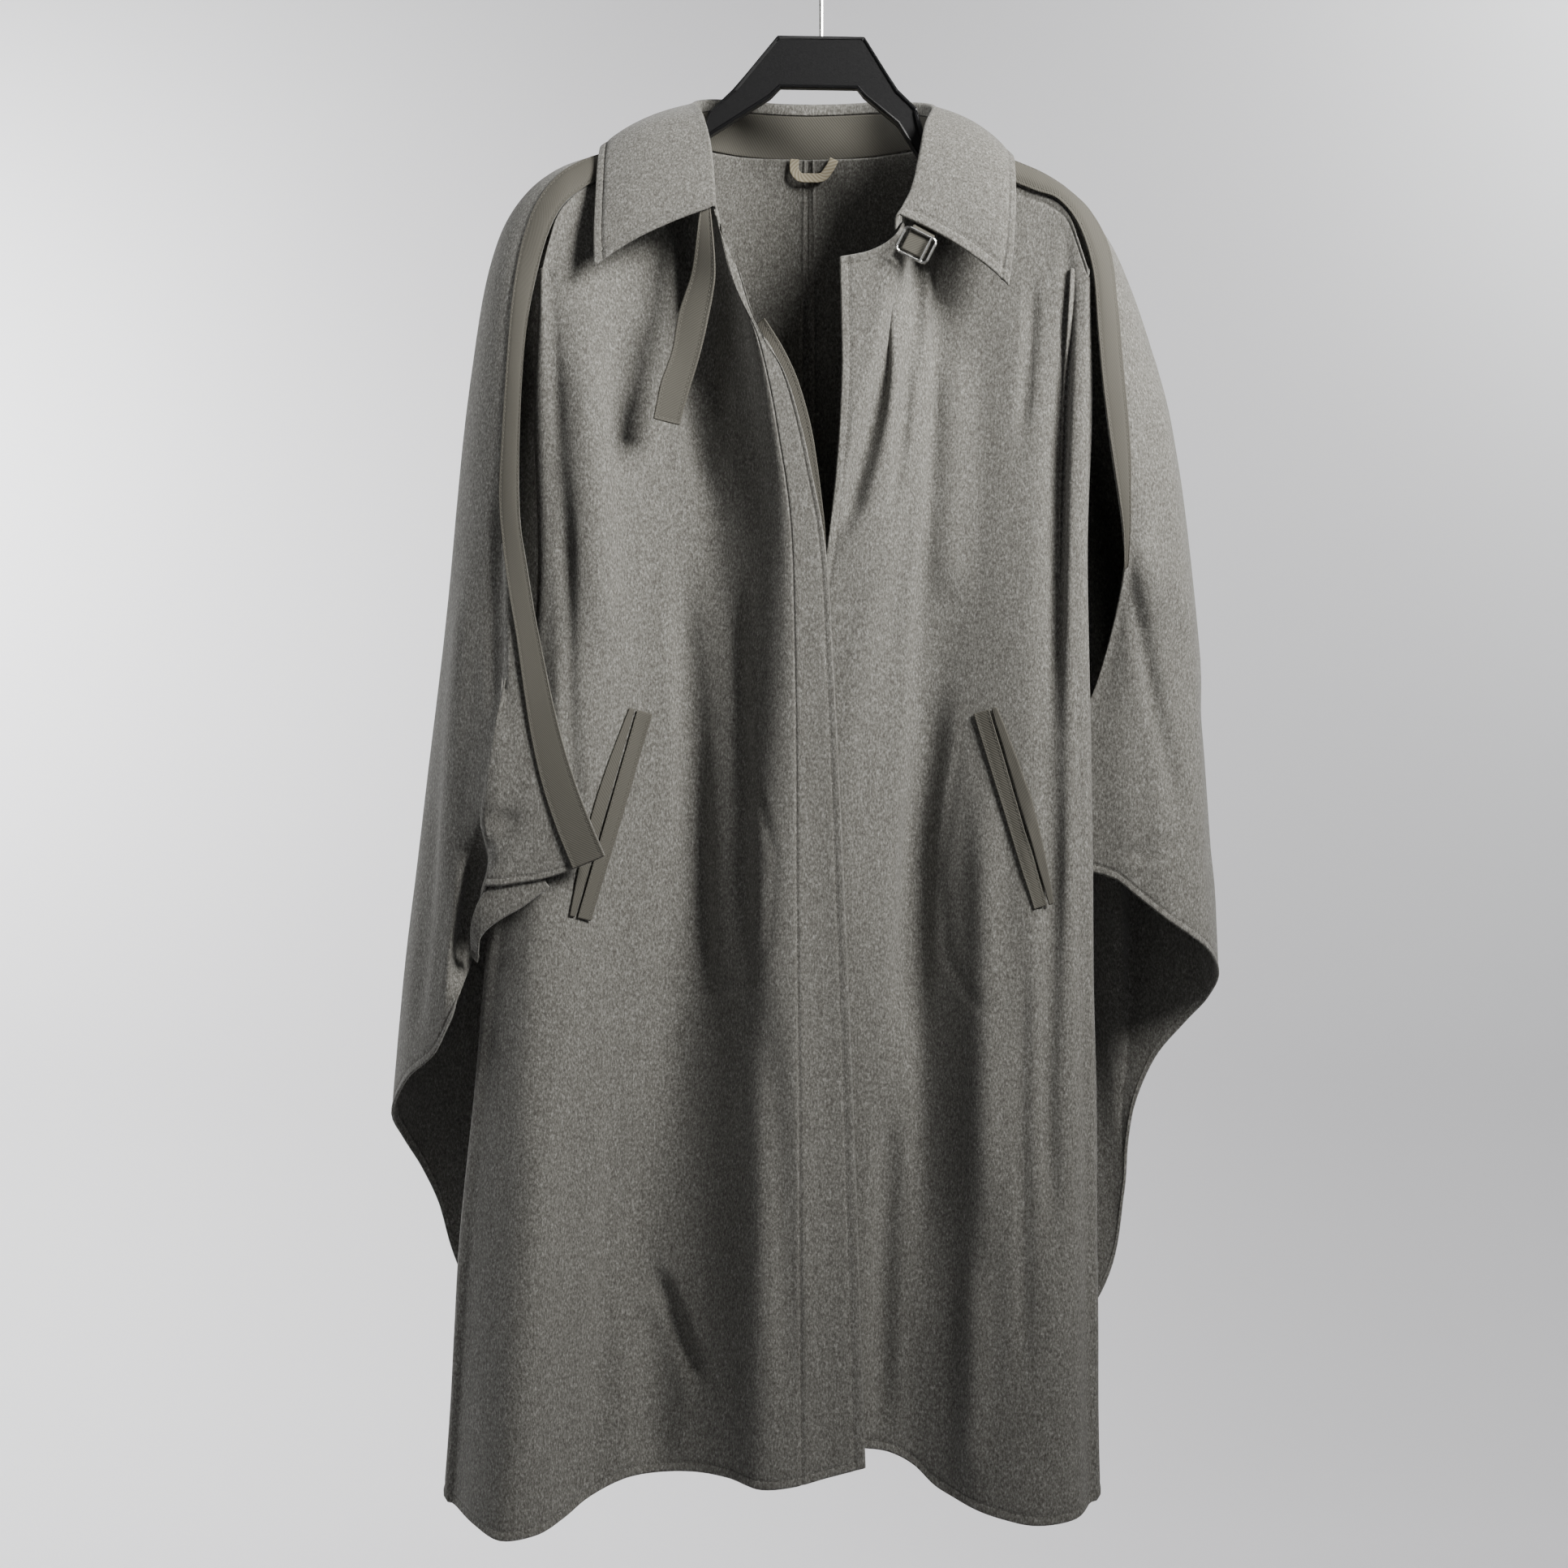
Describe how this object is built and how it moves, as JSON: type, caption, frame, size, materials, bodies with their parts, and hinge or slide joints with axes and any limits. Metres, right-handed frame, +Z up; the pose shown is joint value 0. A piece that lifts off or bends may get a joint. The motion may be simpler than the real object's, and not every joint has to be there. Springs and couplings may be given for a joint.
{
  "type": "cape coat on a hanger",
  "caption": "Wool cape coat with a turned-down collar, open front, cape sleeves and slanted pockets, hung on a flat plastic hanger with a steel hook.",
  "frame": {"origin": "the point on the inside of the hanger's hook that bears on the rail", "axes": "+X towards the wearer's left, -Y towards the coat's front, +Z up along the hanging coat"},
  "size_m": [0.635, 0.2207, 1.1995],
  "materials": {
    "wool": "soft brushed wool, grey flecked",
    "gabardine": "smooth twill",
    "tape": "woven tape",
    "plastic": "fine matte",
    "steel": "bright"
  },
  "bodies": {
    "root": {"front_right": "wool", "front_left": "wool", "back_right": "wool", "back_left": "wool", "wing_right": "wool", "wing_left": "wool", "underarm_right": "wool", "collar_fall": "wool", "band_right": "gabardine", "band_left": "gabardine", "facing_right": "gabardine", "collar_stand": "gabardine", "collar_strap": "gabardine", "buckle_tab": "gabardine", "pocket_welt_right": "gabardine", "pocket_welt_left": "gabardine", "pocket_lip_right": "gabardine", "pocket_lip_left": "gabardine", "hanging_loop": "tape", "hanger_body": "plastic", "hanger_hook": "steel", "buckle_frame": "steel", "buckle_prong": "steel"}
  },
  "joints": []
}
